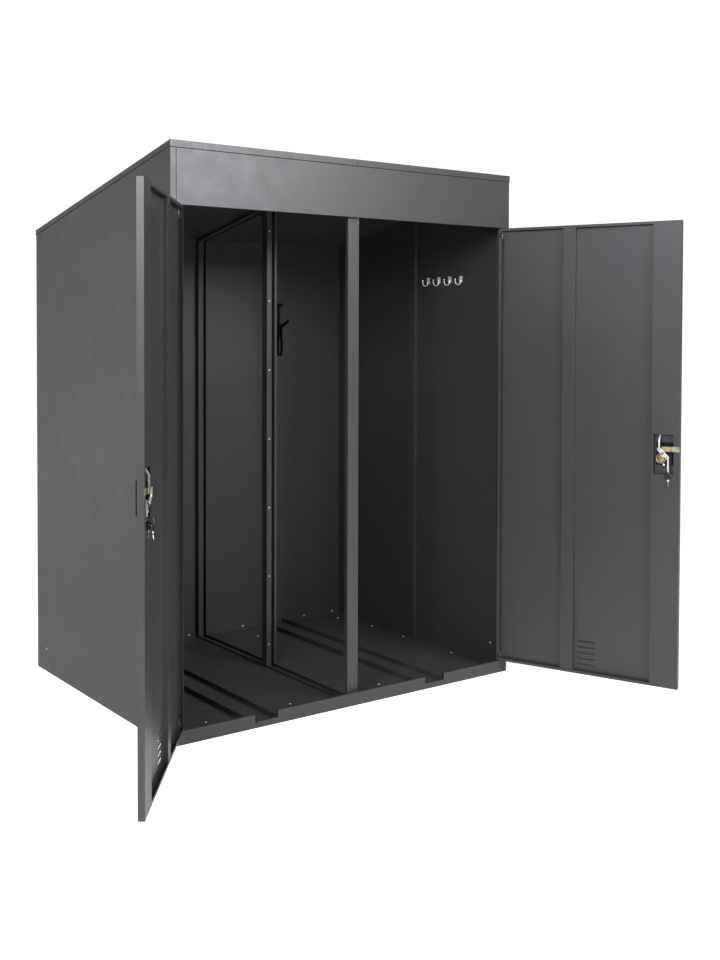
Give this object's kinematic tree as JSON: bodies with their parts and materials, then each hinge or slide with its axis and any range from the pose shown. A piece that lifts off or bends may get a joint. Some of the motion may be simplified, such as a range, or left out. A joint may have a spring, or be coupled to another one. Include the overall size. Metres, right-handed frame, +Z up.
{
  "type": "bicycle locker",
  "caption": "Sheet steel bicycle locker with a lean-to roof, side by side bays, hinged doors with rod locks, wheel channels, coat hooks and wheel hooks.",
  "frame": {"origin": "middle of the cabinet's base, on the ground", "axes": "+Z up, the doors face -Y, +X to the right seen from the front"},
  "size_m": [2.1326, 1.8187, 1.975],
  "materials": {
    "powder_coat": "satin powder coat, fine texture",
    "bright_steel": "zinc plated",
    "white_zinc": "white zinc plated",
    "yellow_zinc": "yellow passivated zinc",
    "dark_screw": "black",
    "black_coat": "black coated",
    "webbing": "woven",
    "nylon": "matt",
    "black_plastic": "matt",
    "key_steel": "nickel plated"
  },
  "bodies": {
    "cabinet": {"floor_pan": "powder_coat", "wheel_channel_left": "powder_coat", "wheel_channel_right": "powder_coat", "front_sill": "powder_coat", "side_panel_left_front": "powder_coat", "side_panel_left_rear": "powder_coat", "side_panel_right_front": "powder_coat", "side_panel_right_rear": "powder_coat", "side_channel_left": "powder_coat", "side_channel_right": "powder_coat", "back_panel_left": "powder_coat", "back_panel_right": "powder_coat", "corner_post_left": "powder_coat", "corner_post_right": "powder_coat", "header_fascia": "powder_coat", "centre_post": "powder_coat", "roof_left": "powder_coat", "roof_right": "powder_coat", "partition_mid_stile": "powder_coat", "partition_rear_stile": "powder_coat", "partition_bottom_rail": "powder_coat", "partition_top_rail": "powder_coat", "coat_hook_rails": "bright_steel", "coat_hooks": "bright_steel", "wheel_hooks": "black_coat", "wheel_straps": "webbing", "hinge_bushes": "nylon", "partition_rivets": "bright_steel", "centre_post_screws": "dark_screw", "floor_screws": "bright_steel", "wall_screws": "bright_steel", "side_screws": "bright_steel"},
    "left_door": {"left_door_skin": "powder_coat", "left_door_stiffener": "powder_coat", "left_lock_stile": "powder_coat", "left_handle_pan": "black_plastic", "left_lock_case_boss": "yellow_zinc", "left_bolt_slide_plate": "yellow_zinc", "left_hinge_pins": "bright_steel"},
    "left_handle": {"left_turn_handle": "black_plastic", "left_rod_cam": "white_zinc"},
    "left_plug": {"left_key_plug": "bright_steel"},
    "left_bolt": {"left_slide_bolt": "yellow_zinc"},
    "left_upper_rod": {"left_rod_upper": "white_zinc"},
    "left_lower_rod": {"left_rod_lower": "white_zinc"},
    "left_key_bunch": {"left_keys": "key_steel"},
    "right_door": {"right_door_skin": "powder_coat", "right_door_stiffener": "powder_coat", "right_lock_stile": "powder_coat", "right_handle_pan": "black_plastic", "right_lock_case_boss": "yellow_zinc", "right_bolt_slide_plate": "yellow_zinc", "right_hinge_pins": "bright_steel"},
    "right_handle": {"right_turn_handle": "black_plastic", "right_rod_cam": "white_zinc"},
    "right_plug": {"right_key_plug": "bright_steel"},
    "right_bolt": {"right_slide_bolt": "yellow_zinc"},
    "right_upper_rod": {"right_rod_upper": "white_zinc"},
    "right_lower_rod": {"right_rod_lower": "white_zinc"},
    "right_key_bunch": {"right_keys": "key_steel"}
  },
  "joints": [
    {"name": "left_door_swing", "type": "hinge", "parent": "cabinet", "child": "left_door", "pos_m": [-0.719, -0.5705, 0.9], "axis": [0, 0, 1], "range_deg": [-3.6, 126.4]},
    {"name": "left_handle_turn", "type": "hinge", "parent": "left_door", "child": "left_handle", "pos_m": [-1.10072, -1.10595, 0.916], "axis": [0.8049, -0.5934, 0], "range_deg": [0, 60]},
    {"name": "left_key_turn", "type": "hinge", "parent": "left_handle", "child": "left_plug", "pos_m": [-1.11038, -1.09883, 0.916], "axis": [0.8049, -0.5934, 0], "range_deg": [0, 90]},
    {"name": "left_bolt_throw", "type": "slide", "parent": "left_door", "child": "left_bolt", "axis": [-0.5934, -0.8049, 0], "range_m": [0, 0.022]},
    {"name": "left_rod_raise", "type": "slide", "parent": "left_door", "child": "left_upper_rod", "axis": [0, 0, 1], "range_m": [0, 0.012]},
    {"name": "left_rod_drop", "type": "slide", "parent": "left_door", "child": "left_lower_rod", "axis": [0, 0, -1], "range_m": [0, 0.012]},
    {"name": "left_key_swing", "type": "hinge", "parent": "left_door", "child": "left_key_bunch", "pos_m": [-1.09814, -1.12773, 0.857], "axis": [0.8049, -0.5934, 0], "range_deg": [-12, 12]},
    {"name": "right_door_swing", "type": "hinge", "parent": "cabinet", "child": "right_door", "pos_m": [0.719, -0.5705, 0.9], "axis": [0, 0, 1], "range_deg": [-111.5, 18.5]},
    {"name": "right_handle_turn", "type": "hinge", "parent": "right_door", "child": "right_handle", "pos_m": [0.95021, -1.1861, 0.916], "axis": [0.9304, 0.3665, 0], "range_deg": [0, 60]},
    {"name": "right_key_turn", "type": "hinge", "parent": "right_handle", "child": "right_plug", "pos_m": [0.96137, -1.1817, 0.916], "axis": [0.9304, 0.3665, 0], "range_deg": [0, 90]},
    {"name": "right_bolt_throw", "type": "slide", "parent": "right_door", "child": "right_bolt", "axis": [0.3665, -0.9304, 0], "range_m": [0, 0.022]},
    {"name": "right_rod_raise", "type": "slide", "parent": "right_door", "child": "right_upper_rod", "axis": [0, 0, 1], "range_m": [0, 0.012]},
    {"name": "right_rod_drop", "type": "slide", "parent": "right_door", "child": "right_lower_rod", "axis": [0, 0, -1], "range_m": [0, 0.012]},
    {"name": "right_key_swing", "type": "hinge", "parent": "right_door", "child": "right_key_bunch", "pos_m": [0.94954, -1.20624, 0.8342], "axis": [0.9304, 0.3665, 0], "range_deg": [-12, 12]}
  ],
  "couplings": [
    {"joint": "left_handle_turn", "follows": "left_rod_raise", "rad_per_m": 87.2},
    {"joint": "left_bolt_throw", "follows": "left_rod_raise", "ratio": 1.83},
    {"joint": "left_rod_drop", "follows": "left_rod_raise", "ratio": 1},
    {"joint": "right_handle_turn", "follows": "right_rod_raise", "rad_per_m": 87.2},
    {"joint": "right_bolt_throw", "follows": "right_rod_raise", "ratio": 1.83},
    {"joint": "right_rod_drop", "follows": "right_rod_raise", "ratio": 1}
  ]
}
